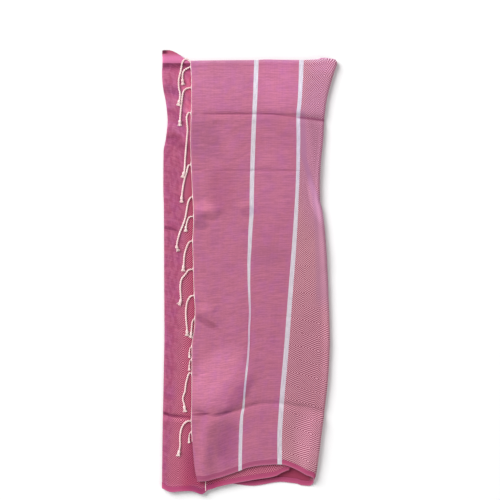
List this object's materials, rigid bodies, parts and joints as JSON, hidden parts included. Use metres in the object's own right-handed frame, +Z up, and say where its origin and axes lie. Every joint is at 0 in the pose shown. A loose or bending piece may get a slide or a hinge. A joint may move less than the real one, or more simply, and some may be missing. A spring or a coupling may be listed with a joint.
{
  "type": "hammam towel",
  "caption": "Flat-woven cotton hammam towel with corded tassels along its ends, folded flat in the spiral form of a body wrap, with white stripes near the fringed end.",
  "frame": {"origin": "on the surface that the towel lies on, under the middle of the folded towel's box", "axes": "+Z up from the surface, +Y towards the upper hem, +X towards the fold where the front flap turns to the back"},
  "size_m": [0.4036, 1.0215, 0.023],
  "materials": {
    "pink_cotton": "matte flat weave, pink with light flecks",
    "cream_yarn": "matte twisted cotton cord"
  },
  "bodies": {
    "root": {"towel_cloth": "pink_cotton", "fringe_outer": "cream_yarn", "fringe_inner": "cream_yarn"}
  },
  "joints": []
}
